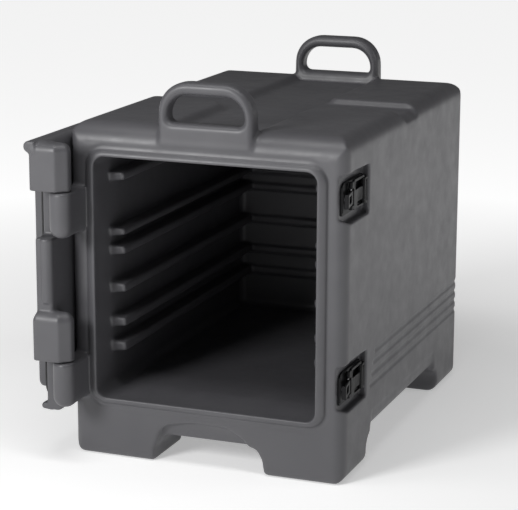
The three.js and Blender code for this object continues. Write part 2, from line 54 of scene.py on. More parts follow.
MM = 0.001
HALF_WIDTH, DEPTH, TOP = 228.5, 642.3, 538.4
FRONT_R, BACK_R, SIDE_R, CORNER_R = 36, 33.5, 26, 19
FOOT_R, FOOT_SIDE_R = 9, 20
BELLY, BELLY_EDGE_R = 46, 28
FOOT_FRONT, FOOT_BACK, FOOT_LEFT, FOOT_RIGHT = 116, 516, -88, 95
ARCH_SCOOP, ARCH_RISE, ARCH_CROWN = 12.5, 72, 42.5
HANDLE_THICK, HANDLE_HALF, HANDLE_TOP = 33, 79, 608.7
HANDLE_HOLE_HALF, HANDLE_HOLE_LOW, HANDLE_HOLE_HIGH = 63, 545.4, 589.5
HOLLOW_DEPTH, CHANNEL_HALF, VALLEY_FRONT, VALLEY_BACK = 11, 66, 292, 366
DIP_DEPTH, DIP_INNER = 17, 12
MOUTH_HALF, MOUTH_LOW, MOUTH_HIGH, MOUTH_R = 183.2, 98.5, 486.9, 17
RIM_LIP, RIM_SIDE, RIM_TALL, RIM_SLOPE = 8.7, 15, 10, 0.78
MOAT_AT, MOAT_R, CREASE_LEVEL, CREASE_R = 16.6, 1.7, 507.4, 1.4
CAVITY_STEP, CAVITY_STEP_AT, CAVITY_BACK = 3.2, 40, 604
RAILS = ((163, 178), (204, 218), (260, 274), (322, 335), (353, 364), (441.5, 454))
RAIL_REACH, RAIL_BACK = 25, 6
RAIL_START, RAIL_START_RIGHT, RAIL_LEAD_IN = 42, 52, 10
GROOVE_LEVELS, GROOVE_HALF, GROOVE_DEPTH = (125.5, 142.5, 160, 177), 2.9, 2.0
GROOVE_START, GROOVE_STAGGER = 126, 8
HINGE_X, HINGE_Y, BARREL_R, HINGE_PIN_R, HINGE_BORE_R = -217, -55, 16.5, 6, 6.6
ARMS = ((94, 166.4), (365.5, 437.4))
ARM_FLANK, NOTCH_INNER = 19.5, -194.5
KNUCKLES = ((167.5, 247), (438.5, 514))
DOOR_HALF, DOOR_OUTER, DOOR_INNER, DOOR_LOW, DOOR_HIGH = 226, -41, -13, 76, 516
PAD_SPAN, PAD_PROUD, PAD_EDGE = (259, 372), 3.5, -23.5
PLUG_HALF, PLUG_LOW, PLUG_HIGH, PLUG_REACH, PLUG_R = 178.5, 105, 482, 10, 15
TOP_LIP_LOW, TOP_LIP_REACH, TOP_LIP_R = 498, -1.5, 8.9
FOOT_LIP_HIGH, FOOT_LIP_REACH, FOOT_LIP_R, LIP_END = 87, -2.4, 5.4, 214
LATCH_LEVELS = {"lower": 151, "upper": 446}
POCKET_X, POCKET_BACK, POCKET_BELOW = 214.8, 108, 37
LATCH_SCREWS = ((20, 0), (74, -13))
LATCH_PIN_R, LATCH_BORE_R, SCREW_BORE_R = 1.6, 1.9, 2.3
KEEPER_SCREW_X, KEEPER_SCREW_RISES = 208, (-10, 10)
LEVER_PIN, HOOK_PIN = (223.5, 98.5), (222.8, 34)
HOOK_REST = math.radians(9)

shell_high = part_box("body_outer_shell")[1]
BODY_ORIGIN = Vector((shell_high[0] - HALF_WIDTH * MM, shell_high[1] - DEPTH * MM, 0))
HINGE_POINT = np.array((HINGE_X, HINGE_Y, 0.0))
BODY_STEP = 2.0
DOOR_STEP = 1.6
SMALL_STEP = 0.45


# ---- Distance fields ----------------------------------------------------------------------

def both(a, b, r=0.0):
    """The overlap of two shapes, its edge rounded by radius r."""
    if r == 0:
        return np.maximum(a, b)
    return np.minimum(np.maximum(a, b), -r) + np.hypot(np.maximum(a + r, 0), np.maximum(b + r, 0))


def either(a, b, r=0.0):
    """Two shapes joined, with a fillet of radius r between them."""
    return -both(-a, -b, r)


def slab(a, low, high):
    """The room between two parallel planes."""
    return np.abs(a - (low + high) / 2) - (high - low) / 2


def round_rect(a, b, span_a, span_b, r=0.0):
    qa, qb = slab(a, *span_a) + r, slab(b, *span_b) + r
    return np.hypot(np.maximum(qa, 0), np.maximum(qb, 0)) + np.minimum(np.maximum(qa, qb), 0) - r


def outline(corners, steps=8):
    """The points of a closed outline through corners (a, b, radius), each rounded by an arc."""
    points = []
    for i, (a, b, *rest) in enumerate(corners):
        r = rest[0] if rest else 0
        here = np.array((a, b), float)
        before = np.array(corners[i - 1][:2], float) - here
        after = np.array(corners[(i + 1) % len(corners)][:2], float) - here
        before /= np.linalg.norm(before)
        after /= np.linalg.norm(after)
        if r == 0:
            points.append(here)
            continue
        half = math.acos(float(np.clip(before @ after, -1, 1))) / 2
        middle = before + after
        centre = here + middle / np.linalg.norm(middle) * r / math.sin(half)
        start = here + before * r / math.tan(half) - centre
        end = here + after * r / math.tan(half) - centre
        turn = math.atan2(start[0] * end[1] - start[1] * end[0], float(start @ end))
        for k in range(steps + 1):
            c, s = math.cos(turn * k / steps), math.sin(turn * k / steps)
            points.append(centre + (start[0] * c - start[1] * s, start[0] * s + start[1] * c))
    return points


def polygon(a, b, points):
    """The signed distance to a closed polygon."""
    nearest = np.full(np.broadcast(a, b).shape, 1e9, np.float32)
    inside = np.zeros(nearest.shape, bool)
    for (pa, pb), (qa, qb) in zip(points, points[1:] + points[:1]):
        ea, eb = qa - pa, qb - pb
        length2 = ea * ea + eb * eb
        if length2 < 1e-12:
            continue
        wa, wb = a - pa, b - pb
        t = np.clip((wa * ea + wb * eb) / length2, 0, 1)
        nearest = np.minimum(nearest, (wa - ea * t) ** 2 + (wb - eb * t) ** 2)
        if pb != qb:
            crosses = (pb > b) != (qb > b)
            inside ^= crosses & (a < ea * (b - pb) / eb + pa)
    return np.where(inside, -1, 1).astype(np.float32) * np.sqrt(nearest)


def rounded(a, b, corners):
    """A polygon with rounded corners (a, b, radius)."""
    return polygon(a, b, outline(corners))


class Field:
    """A shape on a grid, changed in place, one local block at a time."""

    def __init__(self, low, high, step):
        self.low, self.step = np.array(low, np.float32), step
        self.axes = []
        for i, (a, b) in enumerate(zip(low, high)):
            line = (a + step * np.arange(int(math.ceil((b - a) / step)) + 1)).astype(np.float32)
            self.axes.append(line.reshape([-1 if k == i else 1 for k in range(3)]))
        self.d = np.full([axis.size for axis in self.axes], 40, np.float32)

    def block(self, low, high):
        cells = []
        for axis, a, b in zip(self.axes, low, high):
            first = int(math.floor((a - axis.flat[0]) / self.step)) - 1
            last = int(math.ceil((b - axis.flat[0]) / self.step)) + 2
            cells.append(slice(max(first, 0), max(last, 0)))
        cells = tuple(cells)
        lines = [axis[tuple(cells[i] if k == i else slice(None) for k in range(3))]
                 for i, axis in enumerate(self.axes)]
        return cells, lines

    def fill(self, shape):
        self.d[:] = shape(*self.axes)

    def change(self, low, high, rule):
        cells, lines = self.block(low, high)
        self.d[cells] = rule(self.d[cells], *lines)

    def add(self, low, high, shape, r=0.0):
        self.change(low, high, lambda d, x, y, z: either(d, shape(x, y, z), r))

    def cut(self, low, high, shape, r=0.0):
        self.change(low, high, lambda d, x, y, z: both(d, -shape(x, y, z), r))

    def soften(self, passes):
        """Rounds every edge a little and leaves flat faces where they are."""
        for _ in range(passes):
            for axis in range(3):
                a = np.moveaxis(self.d, axis, 0)
                middle = (a[:-2] + 2 * a[1:-1] + a[2:]) * np.float32(0.25)
                a[1:-1] = middle

    def sample(self, points):
        """The field between grid points, by linear interpolation."""
        p = (points - self.low) / self.step
        top = np.array(self.d.shape) - 2
        base = np.clip(np.floor(p).astype(int), 0, top)
        f = (p - base).astype(np.float32)
        total = np.zeros(len(p), np.float32)
        for corner in range(8):
            bits = [(corner >> k) & 1 for k in range(3)]
            weight = np.ones(len(p), np.float32)
            for k, bit in enumerate(bits):
                weight *= f[:, k] if bit else 1 - f[:, k]
            total += weight * self.d[tuple(base[:, k] + bits[k] for k in range(3))]
        return total

    def slope(self, points):
        reach = 0.75 * self.step
        parts = [self.sample(points + reach * np.eye(3)[k]) - self.sample(points - reach * np.eye(3)[k])
                 for k in range(3)]
        return np.stack(parts, 1) / (2 * reach)

    def surface(self):
        """Vertices and quads of the zero level: one vertex in each cell that the level crosses."""
        inside = self.d < 0
        count = np.zeros([n - 1 for n in self.d.shape], np.uint8)
        corners = [(i, j, k) for i in (0, 1) for j in (0, 1) for k in (0, 1)]
        nx, ny, nz = self.d.shape
        for i, j, k in corners:
            count += inside[i:nx - 1 + i, j:ny - 1 + j, k:nz - 1 + k]
        cells = np.argwhere((count > 0) & (count < 8))
        values = np.stack([self.d[tuple((cells + c).T)] for c in corners], 1)
        total = np.zeros((len(cells), 3), np.float32)
        hits = np.zeros(len(cells), np.float32)
        for p in range(8):
            for axis in range(3):
                if corners[p][axis]:
                    continue
                q = p + (4, 2, 1)[axis]
                a, b = values[:, p], values[:, q]
                crossed = (a < 0) != (b < 0)
                place = np.tile(np.array(corners[p], np.float32), (len(cells), 1))
                place[:, axis] = np.where(crossed, a / np.where(crossed, a - b, 1), 0)
                total += place * crossed[:, None]
                hits += crossed
        points = self.low + self.step * (cells + total / hits[:, None])
        index = np.full(count.shape, -1, np.int32)
        index[tuple(cells.T)] = np.arange(len(cells))
        quads = []
        for axis in range(3):
            u, v = (axis + 1) % 3, (axis + 2) % 3
            cut = [slice(1, -1)] * 3
            cut[axis] = slice(0, -1)
            ahead = list(cut)
            ahead[axis] = slice(1, None)
            start, end = inside[tuple(cut)], inside[tuple(ahead)]
            edges = np.argwhere(start != end)
            leaving = start[tuple(edges.T)]
            edges[:, u] += 1
            edges[:, v] += 1
            ring = []
            for du, dv in ((0, 0), (1, 0), (1, 1), (0, 1)):
                cell = edges.copy()
                cell[:, u] -= 1 - du
                cell[:, v] -= 1 - dv
                ring.append(index[tuple(cell.T)])
            ring = np.stack(ring, 1)
            quads.append(np.where(leaving[:, None], ring, ring[:, ::-1]))
        return points, np.concatenate(quads)


def new_mesh(name, points, faces):
    mesh = bpy.data.meshes.new(name)
    mesh.vertices.add(len(points))
    mesh.vertices.foreach_set("co", np.asarray(points, np.float32).ravel())
    mesh.loops.add(faces.size)
    mesh.loops.foreach_set("vertex_index", faces.ravel().astype(np.int32))
    mesh.polygons.add(len(faces))
    mesh.polygons.foreach_set("loop_start", np.arange(0, faces.size, faces.shape[1], dtype=np.int32))
    mesh.update(calc_edges=True)
    return mesh


def piece(name, field, body, material, replaces, keep=1.0, place=None):
    """Turns a field into a mesh piece that stands for CAD nodes and rides on their body.

    keep is the share of the triangles that stay after flat stretches are thinned, and place
    moves and turns the piece from where it is laid out to where it lies at rest."""
    points, quads = field.surface()
    source = bpy.data.objects.new(name + "_raw", new_mesh(name + "_raw", points, quads))
    bpy.context.scene.collection.objects.link(source)
    if keep < 1:
        thin = source.modifiers.new("thin", "DECIMATE")
        thin.ratio = keep
    graph = bpy.context.evaluated_depsgraph_get()
    mesh = bpy.data.meshes.new_from_object(source.evaluated_get(graph))
    mesh.name = name
    bpy.data.objects.remove(source)
    co = np.empty(len(mesh.vertices) * 3, np.float32)
    mesh.vertices.foreach_get("co", co)
    co = co.reshape(-1, 3)
    normal = field.slope(co)
    normal /= np.maximum(np.linalg.norm(normal, axis=1, keepdims=True), 1e-6)
    move = np.eye(4) if place is None else np.array(place)
    co = co @ move[:3, :3].T + move[:3, 3]
    normal = normal @ move[:3, :3].T
    co = co * MM + np.array(BODY_ORIGIN)
    mesh.vertices.foreach_set("co", co.astype(np.float32).ravel())
    mesh.update()
    mesh.polygons.foreach_set("use_smooth", [True] * len(mesh.polygons))
    mesh.normals_split_custom_set_from_vertices(normal.astype(float).tolist())
    mesh.materials.append(material)
    obj = bpy.data.objects.new(name, mesh)
    bpy.context.scene.collection.objects.link(obj)
    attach(obj, body)
    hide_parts(*replaces)
    return obj


# ---- Materials ----------------------------------------------------------------------------

class Nodes:
    """A small helper that adds and links shader nodes."""

    def __init__(self, name):
        self.material = bpy.data.materials.new(name)
        self.material.use_nodes = True
        self.tree = self.material.node_tree
        self.shader = self.tree.nodes["Principled BSDF"]
        self.place = self.add("ShaderNodeTexCoord").outputs["Object"]

    def add(self, kind, **settings):
        node = self.tree.nodes.new(kind)
        for key, value in settings.items():
            if key in node.inputs:
                node.inputs[key].default_value = value
            else:
                setattr(node, key, value)
        return node

    def noise(self, scale, detail=3.0, roughness=0.5):
        node = self.add("ShaderNodeTexNoise", Scale=scale, Detail=detail, Roughness=roughness)
        self.tree.links.new(self.place, node.inputs["Vector"])
        return node.outputs["Fac"]

    def ramp(self, value, low, high, out_low, out_high):
        node = self.add("ShaderNodeMapRange")
        node.inputs["From Min"].default_value = low
        node.inputs["From Max"].default_value = high
        node.inputs["To Min"].default_value = out_low
        node.inputs["To Max"].default_value = out_high
        self.tree.links.new(value, node.inputs["Value"])
        return node.outputs["Result"]

    def mix(self, factor, color_a, color_b):
        node = self.add("ShaderNodeMix", data_type="RGBA")
        for socket in node.inputs:
            if socket.type == "RGBA" and socket.name in "AB":
                socket.default_value = (*(color_a if socket.name == "A" else color_b), 1)
        self.tree.links.new(factor, node.inputs["Factor"])
        return [s for s in node.outputs if s.type == "RGBA"][0]

    def bump(self, height, distance, strength, under=None):
        node = self.add("ShaderNodeBump", Distance=distance, Strength=strength)
        self.tree.links.new(height, node.inputs["Height"])
        if under is not None:
            self.tree.links.new(under, node.inputs["Normal"])
        return node.outputs["Normal"]

    def link(self, output, socket):
        self.tree.links.new(output, self.shader.inputs[socket])


def moulded_plastic(name, dark, light, rough, grain, waviness, gloss):
    """Plastic with a slightly cloudy colour, an uneven gloss, a fine grain and a broad waviness."""
    n = Nodes(name)
    cloud = n.noise(9, 4, 0.55)
    color = n.mix(n.ramp(cloud, 0.3, 0.7, 0, 1), dark, light)
    n.link(color, "Base Color")
    n.link(n.ramp(n.noise(34, 5, 0.6), 0.3, 0.7, rough - 0.05, rough + 0.06), "Roughness")
    broad = n.bump(n.noise(7, 1.5, 0.4), 0.01, waviness)
    n.link(n.bump(n.noise(900, 2, 0.5), 0.0006, grain, broad), "Normal")
    n.shader.inputs["Specular IOR Level"].default_value = gloss
    return n.material


def steel_material():
    n = Nodes("stainless_steel")
    stretch = n.add("ShaderNodeMapping")
    stretch.inputs["Scale"].default_value = (1500, 1500, 60)
    n.tree.links.new(n.place, stretch.inputs["Vector"])
    lines = n.add("ShaderNodeTexNoise", Scale=1.0, Detail=2.0)
    n.tree.links.new(stretch.outputs["Vector"], lines.inputs["Vector"])
    # The steel's grey is partly its own colour and partly painted shade: it is kept darker than bare
    # stainless so the hinge pins in their narrow gaps stay dark.
    n.link(n.mix(lines.outputs["Fac"], (0.26, 0.26, 0.27), (0.4, 0.4, 0.41)), "Base Color")
    n.link(n.ramp(lines.outputs["Fac"], 0.2, 0.8, 0.26, 0.42), "Roughness")
    n.shader.inputs["Metallic"].default_value = 1.0
    n.link(n.bump(lines.outputs["Fac"], 0.0003, 0.15), "Normal")
    return n.material


def foam_material():
    n = Nodes("polyurethane_foam")
    cells = n.add("ShaderNodeTexVoronoi", Scale=700)
    n.tree.links.new(n.place, cells.inputs["Vector"])
    n.link(n.mix(n.noise(40), (0.62, 0.52, 0.3), (0.78, 0.7, 0.46)), "Base Color")
    n.link(n.bump(cells.outputs["Distance"], 0.001, 0.5), "Normal")
    n.shader.inputs["Roughness"].default_value = 0.9
    return n.material


def rubber_material():
    n = Nodes("seal_rubber")
    n.link(n.mix(n.noise(60), (0.016, 0.016, 0.017), (0.028, 0.028, 0.029)), "Base Color")
    n.link(n.ramp(n.noise(220), 0.3, 0.7, 0.55, 0.72), "Roughness")
    n.link(n.bump(n.noise(600), 0.0004, 0.2), "Normal")
    return n.material


POLY = moulded_plastic("grey_polyethylene", (0.078, 0.077, 0.084), (0.091, 0.090, 0.097),
                       rough=0.42, grain=0.12, waviness=0.035, gloss=0.52)
NYLON = moulded_plastic("black_nylon", (0.005, 0.005, 0.006), (0.009, 0.009, 0.01),
                        rough=0.42, grain=0.08, waviness=0.0, gloss=0.18)
STEEL = steel_material()
FOAM = foam_material()
RUBBER = rubber_material()


# ---- Body ---------------------------------------------------------------------------------

def foot_gaps(x, y, z):
    """The space under the belly and between the feet, as one shape."""
    run = rounded(y, z, [
        (FOOT_FRONT, -30), (FOOT_FRONT + 1, BELLY, 24), (FOOT_BACK - 1, BELLY, 24), (FOOT_BACK, -30)])
    edge = BELLY_EDGE_R
    crown = np.hypot(np.maximum(np.abs(x) - (HALF_WIDTH - edge), 0), np.maximum(BELLY + edge - z, 0)) - edge
    sides = both(-crown, slab(y, FOOT_FRONT + 20, FOOT_BACK - 20), 10)
    sides = both(sides, z - (BELLY + edge + 4))
    channel = rounded(x, z, [
        (FOOT_LEFT - 2, -30), (FOOT_LEFT + 1, 24, 16), (FOOT_LEFT + 11, ARCH_CROWN, 14),
        (FOOT_RIGHT - 11, ARCH_CROWN, 14), (FOOT_RIGHT - 1, 24, 16), (FOOT_RIGHT + 6, -30)])
    return either(either(run, sides, 4), channel, 8)


def arch_scoops(x, y, z):
    """The arch at the foot of the front and back faces, hollowed in to the belly."""
    arch = rounded(x, z, [
        (FOOT_LEFT - 2, -30), (FOOT_LEFT + 1, 22, 26), (FOOT_LEFT + 13, 60, 24), (-18, ARCH_RISE + 1, 70),
        (34, ARCH_RISE - 1, 60), (FOOT_RIGHT - 34, 56, 34), (FOOT_RIGHT - 3, 22, 26), (FOOT_RIGHT + 5, -30)])
    inward = np.minimum(y, DEPTH - y)
    up = np.maximum(z - ARCH_CROWN, 0) / (ARCH_RISE + 1 - ARCH_CROWN)
    hollow = (np.hypot(np.maximum(inward, 0) / ARCH_SCOOP, up) - 1) * ARCH_SCOOP
    return both(both(arch, hollow, 1), inward - ARCH_SCOOP - 6)


def body_block(field):
    """The outer block, with the feet and arches cut out of its underside."""
    width = (-HALF_WIDTH, HALF_WIDTH)

    def shape(x, y, z):
        side = rounded(y, z, [
            (0, 0, FOOT_R), (DEPTH, 0, FOOT_R), (DEPTH, TOP, BACK_R), (0, TOP, FRONT_R)])
        front = round_rect(x, z, width, (0, TOP + 40), FOOT_SIDE_R)
        front = np.maximum(front, rounded(x, z, [
            (-HALF_WIDTH, -40), (HALF_WIDTH, -40), (HALF_WIDTH, TOP, SIDE_R), (-HALF_WIDTH, TOP, SIDE_R)]))
        plan = round_rect(x, y, width, (0, DEPTH), CORNER_R)
        return np.maximum(np.maximum(side, front), plan)
    field.fill(shape)
    field.cut((-300, -100, -20), (300, 700, BELLY + BELLY_EDGE_R + 30), foot_gaps, 4)
    field.cut((-140, -100, -20), (140, 60, 110), arch_scoops, 1.5)
    field.cut((-140, 590, -20), (140, 700, 110), arch_scoops, 1.5)


def top_hollow(x, y, z):
    """The channel between the handles and the valley across, with slanted walls and rounded corners."""
    floor = TOP - HOLLOW_DEPTH
    rise = np.clip(z - floor, 0, 40)
    between_handles = slab(y, HANDLE_THICK, DEPTH - HANDLE_THICK)
    channel = both((np.abs(x) - CHANNEL_HALF - rise) * 0.707, between_handles, 3)
    front = either(channel, (VALLEY_FRONT - 0.6 * rise - y) * 0.86, 42)
    back = either(channel, (y - VALLEY_BACK - 0.36 * rise) * 0.94, 9)
    return both(np.where(y < (VALLEY_FRONT + VALLEY_BACK) / 2, front, back), floor - z, 2.5)


def side_dip(x, y, z):
    """Where the valley runs out over the rounded side edge."""
    low, high = TOP - DIP_DEPTH, TOP + 20
    dip = rounded(y, z, [
        (VALLEY_FRONT + 6, low, 8), (VALLEY_BACK - 6, low, 8),
        (VALLEY_BACK + 8, high), (VALLEY_FRONT - 8, high)])
    return both(dip, HALF_WIDTH - DIP_INNER - np.abs(x), 10)


def hinge_arms(field):
    """The two arms of the body that carry the door's pins."""
    flank, front = HINGE_X + ARM_FLANK, HINGE_Y - BARREL_R
    plan = [(HINGE_X - BARREL_R + 0.6, HINGE_Y, 0), (HINGE_X - 13.4, HINGE_Y + 27, 20), (HINGE_X - 9, 8),
            (flank, 8), (flank, front, 16), (HINGE_X - 0.5, front + 0.1)]
    for low, high in ARMS:
        def arm(x, y, z, low=low, high=high):
            barrel = np.hypot(x - HINGE_X, y - HINGE_Y) - BARREL_R
            flat = either(barrel, rounded(x, y, plan), 3)
            return both(both(flat, low - z, 15), z - high, 1)
        field.add((-250, -90, low - 20), (-170, 30, high + 20), arm, 5)

        def bore(x, y, z, low=low):
            return both(np.hypot(x - HINGE_X, y - HINGE_Y) - HINGE_BORE_R, low + 6 - z)
        field.cut((-235, -75, low), (-200, -35, high + 10), bore, 1)


def latch_pocket(level):
    """The recess for one latch, open towards the front and the right."""
    def shape(x, y, z):
        side = rounded(y, z, [
            (-40, level - 14), (20, level - POCKET_BELOW, 26), (POCKET_BACK, level - POCKET_BELOW, 4),
            (POCKET_BACK, level + 38, 3), (30, level + 40.6, 40), (-40, level + 31.5)])
        return both(side, POCKET_X - x, 3)
    return shape


def handles(field):
    """The two loop handles, flush with the front and back faces."""
    h, w = HANDLE_HALF, HANDLE_HOLE_HALF
    low, high = HANDLE_HOLE_LOW, HANDLE_HOLE_HIGH
    for front in (0, DEPTH - HANDLE_THICK):
        def loop(x, y, z, front=front):
            outer = rounded(x, z, [(-h, 470), (h, 470), (h - 2, HANDLE_TOP, 48), (2 - h, HANDLE_TOP, 48)])
            hole = rounded(x, z, [(-w, low, 10), (w, low, 10), (w, high, 33), (-w, high, 33)])
            ring = both(outer, -hole, 8)
            solid = both(ring, slab(y, front, front + HANDLE_THICK), 9)
            return both(solid, TOP - 27 - z)
        field.add((-100, front - 12, TOP - 40), (100, front + HANDLE_THICK + 12, 620), loop, 5)


def from_mouth(x, z):
    """How far a place lies outside the outline of the mouth."""
    return round_rect(x, z, (-MOUTH_HALF, MOUTH_HALF), (MOUTH_LOW, MOUTH_HIGH), MOUTH_R)


def mouth(field):
    """The raised rim with the fine groove round it, and the cavity behind it."""
    side, low, high = MOUTH_HALF + RIM_SIDE, MOUTH_LOW - RIM_TALL, MOUTH_HIGH + RIM_TALL

    def rim(x, y, z):
        flank = round_rect(x, z, (-side, side), (low, high), MOUTH_R + 12)
        face = both((RIM_SLOPE * flank - 3.0 - y) / math.hypot(1, RIM_SLOPE), -RIM_LIP - y, 5)
        return both(both(face, flank, 1.5), y - 6)
    field.add((-215, -20, 70), (215, 12, 515), rim, 1.2)

    def moat(x, y, z):
        return np.hypot(from_mouth(x, z) - MOAT_AT, y + 0.3) - MOAT_R
    field.cut((-215, -8, 70), (215, 8, 515), moat, 1)

    def cavity(x, y, z):
        narrowing = np.clip((y - 8) / (CAVITY_STEP_AT + 24), 0, 1)
        return both(from_mouth(x, z) + CAVITY_STEP * narrowing, y - CAVITY_BACK, 12)
    field.cut((-215, -60, 70), (215, 640, 515), cavity, 2.2)


def pan_rails(field):
    """The rails along both walls, each pair joined by a low rib along the back wall."""
    wall = MOUTH_HALF - CAVITY_STEP
    edge = wall - RAIL_REACH
    near, far = CAVITY_STEP_AT - 12, CAVITY_BACK + 14
    for low, high in RAILS:
        def rail(x, y, z, low=low, high=high):
            section = rounded(np.abs(x), z, [
                (wall + 8, low - 4), (edge, low, 4), (edge, high, 3), (wall + 8, high + 1)])
            lead_in = np.maximum(edge + RAIL_LEAD_IN - x, 0) * 1.3
            start = np.where(x < 0, RAIL_START, RAIL_START_RIGHT + lead_in)
            return both(section, start + (high - z) * 0.25 - y, 4)

        def back_rib(x, y, z, low=low, high=high):
            return both(slab(z, low, high), CAVITY_BACK - RAIL_BACK - y, 4)
        field.add((-wall - 12, near, low - 14), (12 - edge, far, high + 14), rail, 3)
        field.add((edge - 12, near, low - 14), (wall + 12, far, high + 14), rail, 3)
        field.add((-wall, CAVITY_BACK - 18, low - 10), (wall, CAVITY_BACK + 10, high + 10), back_rib, 3)


def surface_lines(field):
    """Grooves along the sides and the back, and the parting line above the rim."""
    def groove(x, y, z):
        plan = round_rect(x, y, (-HALF_WIDTH, HALF_WIDTH), (-60, DEPTH), CORNER_R)
        lines = [both(np.abs(z - level) - GROOVE_HALF, GROOVE_START + GROOVE_STAGGER * i - y, 2.8)
                 for i, level in enumerate(GROOVE_LEVELS)]
        return both(np.minimum.reduce(lines), -(plan + GROOVE_DEPTH))
    field.cut((-240, 110, 115), (240, 660, 188), groove, 1.4)

    def crease(x, y, z):
        return both(np.hypot(y + 0.5, z - CREASE_LEVEL) - CREASE_R, np.abs(x + 1) - 200, 1)
    field.cut((-215, -6, 498), (215, 6, 512), crease, 0.8)


def body_moulding():
    """The carrier's body, skin, liner and handles in one moulding."""
    field = Field((-242, -80, -8), (236, 652, 616), BODY_STEP)
    body_block(field)
    field.cut((-300, 20, TOP - 30), (300, 630, TOP + 20), top_hollow, 2.2)
    field.cut((-300, 270, TOP - 30), (300, 390, TOP + 20), side_dip, 6)
    hinge_arms(field)
    field.soften(2)
    for level in LATCH_LEVELS.values():
        field.cut((200, -40, level - 60), (300, 130, level + 60), latch_pocket(level), 1.2)
    handles(field)
    mouth(field)
    pan_rails(field)
    surface_lines(field)
    field.soften(1)
    return piece("carrier_body_moulding", field, "carrier_body", POLY,
                 ["body_outer_shell", "body_inner_liner", "handle_front", "handle_back"], keep=0.35)


# ---- Door, laid out as it stands when closed ----------------------------------------------

def plug_outline(x, z):
    return round_rect(x, z, (-PLUG_HALF, PLUG_HALF), (PLUG_LOW, PLUG_HIGH), PLUG_R)


def door_slab(field):
    """The flat of the door, the plug that enters the mouth, and the lips above and below."""
    def flat(x, y, z):
        face = round_rect(x, z, (-DOOR_HALF, DOOR_HALF), (DOOR_LOW, DOOR_HIGH), 12)
        body = both(both(face, DOOR_OUTER - y, 11), y - DOOR_INNER, 4)
        plug = both(both(plug_outline(x, z), y - PLUG_REACH, 5), DOOR_OUTER + 10 - y)
        return either(body, plug, 2)
    field.fill(flat)
    root = DOOR_INNER - 8

    def top_lip(x, y, z):
        section = rounded(y, z, [
            (root, TOP_LIP_LOW), (TOP_LIP_REACH, TOP_LIP_LOW, TOP_LIP_R),
            (TOP_LIP_REACH, DOOR_HIGH, TOP_LIP_R), (root, DOOR_HIGH)])
        return both(section, slab(x, HINGE_X - BARREL_R, LIP_END), 2)

    def foot_lip(x, y, z):
        section = rounded(y, z, [
            (root, DOOR_LOW), (FOOT_LIP_REACH, DOOR_LOW, FOOT_LIP_R),
            (FOOT_LIP_REACH, FOOT_LIP_HIGH, FOOT_LIP_R), (root, FOOT_LIP_HIGH)])
        return both(section, slab(x, -LIP_END, LIP_END), 3)
    field.add((-240, -30, 485), (240, 10, 530), top_lip, 1.5)
    field.add((-240, -30, 60), (240, 10, 100), foot_lip, 2)


def hinge_edge(field):
    """The door's hinge edge: notches for the body's arms, the pad between them, the knuckles."""
    for low, top in ((DOOR_LOW - 20, KNUCKLES[0][0]), (ARMS[1][0] - 3, KNUCKLES[1][0])):
        def notch(x, y, z, low=low, top=top):
            return both(slab(z, low, top + 2), x - NOTCH_INNER, 5)
        field.cut((-260, -90, low - 12), (-170, 10, top + 12), notch, 3)

    def beside_pad(x, y, z):
        pad = both(slab(z, *PAD_SPAN), y - PAD_EDGE, 3)
        return both(both(-pad, x + DOOR_HALF - PAD_PROUD, 1), slab(z, KNUCKLES[0][1] - 4, KNUCKLES[1][0]))
    field.cut((-240, -60, KNUCKLES[0][1]), (-215, 0, ARMS[1][0]), beside_pad, 2)
    front, left = HINGE_Y - BARREL_R, HINGE_X - BARREL_R
    block = [(left, -9.5, 6), (left, HINGE_Y, 1.5), (HINGE_X - 2, front, 9), (HINGE_X + BARREL_R, front, 12),
             (HINGE_X + BARREL_R, HINGE_Y + 4, 8), (HINGE_X + 19, DOOR_OUTER - 3, 5),
             (HINGE_X + 28, DOOR_OUTER + 4), (HINGE_X + 24, -16), (HINGE_X + 12, -9.5, 5)]
    for (low, high), dome in zip(KNUCKLES, (17, 14)):
        def knuckle(x, y, z, low=low, high=high, dome=dome):
            return both(both(rounded(x, y, block), low - z, 1.2), z - high, dome)

        def bore(x, y, z, high=high):
            return both(np.hypot(x - HINGE_X, y - HINGE_Y) - HINGE_BORE_R, z - high + 8)
        field.add((-260, -90, low - 10), (-170, 10, high + 24), knuckle, 4)
        field.cut((-240, -80, low - 10), (-195, -30, high), bore, 0.8)


def door_moulding(place):
    """The door, both skins in one moulding."""
    field = Field((-240, -78, 68), (234, 18, 523), DOOR_STEP)
    door_slab(field)
    hinge_edge(field)
    field.soften(1)
    return piece("door_moulding", field, "door", POLY,
                 ["door_outer_shell", "door_inner_panel"], keep=0.4, place=place)


def door_gasket(place):
    """The seal round the plug, with two soft ribs towards the rim."""
    field = Field((-198, -16, 82), (198, -6, 502), 1.0)

    def ring(x, y, z):
        out = plug_outline(x, z)
        strip = both(slab(out, 1.6, 13.4), slab(y, DOOR_INNER + 0.1, -9.1), 1.6)
        return both(strip, 1.1 - np.hypot(np.abs(out - 7.5) - 2.9, y + 9.1), 0.4)
    field.fill(ring)
    return piece("door_seal", field, "door", RUBBER, ["door_gasket"], keep=0.3, place=place)


# ---- Latches ------------------------------------------------------------------------------

def upright_bar(x, y, centre, r):
    """An endless round bar along Z."""
    return np.hypot(x - centre[0], y - centre[1]) - r


